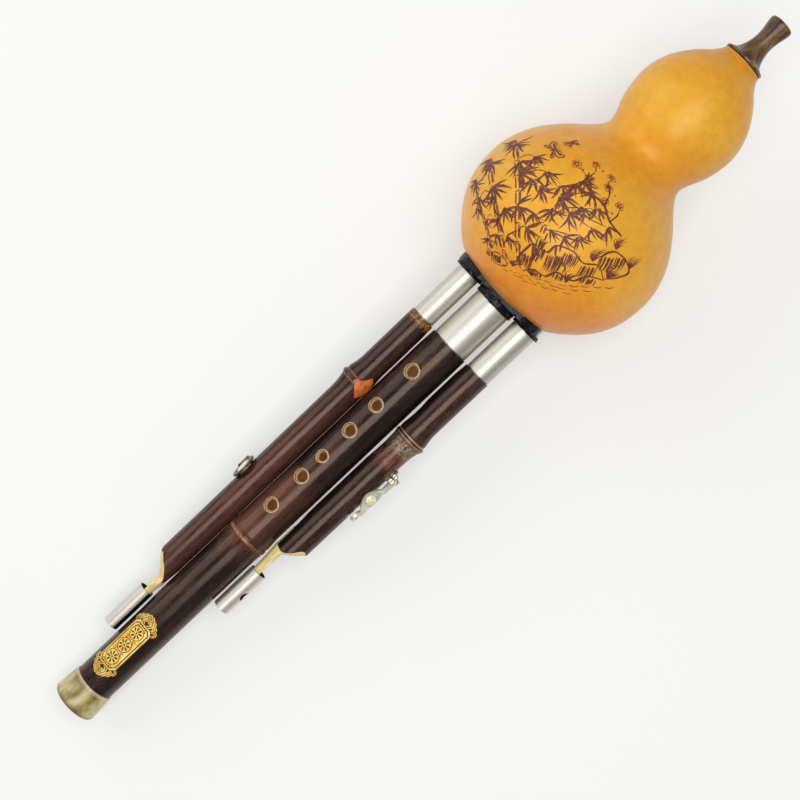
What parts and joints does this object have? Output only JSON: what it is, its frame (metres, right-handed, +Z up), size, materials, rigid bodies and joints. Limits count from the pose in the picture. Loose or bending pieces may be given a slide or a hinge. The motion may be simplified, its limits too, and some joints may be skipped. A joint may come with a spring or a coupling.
{
  "type": "gourd flute",
  "caption": "Gourd flute lying on its side: hollow gourd wind chamber, horn mouthpiece, bamboo melody pipe between slanted drones in silver sockets, tuning tubes, drone key and cover",
  "frame": {"origin": "centre of the bounding box, at the table top that the instrument lies on", "axes": "+X along the instrument toward the mouthpiece, +Y toward the left drone, +Z up; the pipes' axis climbs 6.7 degrees from the foot to the mouthpiece"},
  "size_m": [0.4192, 0.0916, 0.0913],
  "materials": {
    "gourd": null,
    "horn_dark": null,
    "horn_light": null,
    "bamboo": "oiled dark bamboo",
    "silver": "satin nickel silver tube",
    "key_metal": "polished nickel silver",
    "reed_tube": "plain bamboo",
    "brass": "rolled brass",
    "seal": "black sealing rubber",
    "pearl": null,
    "pad": "soft leather"
  },
  "bodies": {
    "wind_chamber": {"gourd": "gourd", "mouthpiece": "horn_dark", "seal_plug": "seal", "main_socket": "silver", "main_seal_collar": "seal", "main_reed_tube": "reed_tube", "main_reed": "brass", "left_socket": "silver", "left_seal_collar": "seal", "left_reed_tube": "reed_tube", "left_reed": "brass", "right_socket": "silver", "right_seal_collar": "seal", "right_reed_tube": "reed_tube", "right_reed": "brass"},
    "melody_pipe": {"main_pipe": "bamboo", "foot_ring": "horn_light", "main_tenon": "silver"},
    "left_drone": {"left_drone_pipe": "bamboo", "left_tenon": "silver", "left_cover_bracket": "key_metal", "left_cover_pin": "key_metal"},
    "left_tuner": {"left_tuning_tube": "silver"},
    "left_cover": {"left_cover_cap": "key_metal", "left_cover_pad": "pad", "left_cover_pearl": "pearl"},
    "right_drone": {"right_drone_pipe": "bamboo", "right_tenon": "silver", "right_key_saddle": "key_metal", "right_key_pin": "key_metal", "right_key_spring": "brass"},
    "right_tuner": {"right_tuning_tube": "silver"},
    "right_key": {"right_key_lever": "key_metal", "right_key_pad": "pad", "right_key_pearl": "pearl"}
  },
  "joints": [
    {"name": "melody_pipe_slide", "type": "slide", "parent": "wind_chamber", "child": "melody_pipe", "axis": [-0.9931, 0, -0.117], "range_m": [0, 0.01]},
    {"name": "left_drone_slide", "type": "slide", "parent": "wind_chamber", "child": "left_drone", "axis": [-0.9931, 0, -0.117], "range_m": [0, 0.01]},
    {"name": "right_drone_slide", "type": "slide", "parent": "wind_chamber", "child": "right_drone", "axis": [-0.9931, 0, -0.117], "range_m": [0, 0.01]},
    {"name": "left_tuner_slide", "type": "slide", "parent": "left_drone", "child": "left_tuner", "axis": [-0.9931, 0, -0.117], "range_m": [0, 0.006]},
    {"name": "right_tuner_slide", "type": "slide", "parent": "right_drone", "child": "right_tuner", "axis": [-0.9931, 0, -0.117], "range_m": [0, 0.006]},
    {"name": "left_cover_hinge", "type": "hinge", "parent": "left_drone", "child": "left_cover", "pos_m": [-0.08067, 0.02338, 0.01989], "axis": [-0.9931, 0, -0.117], "range_deg": [0, 80]},
    {"name": "right_key_hinge", "type": "hinge", "parent": "right_drone", "child": "right_key", "pos_m": [-0.03916, -0.02735, 0.03245], "axis": [0.1144, -0.2079, -0.9714], "range_deg": [0, 3.1], "stiffness_Nm_per_rad": 0.02, "springref_deg": -11.46}
  ]
}
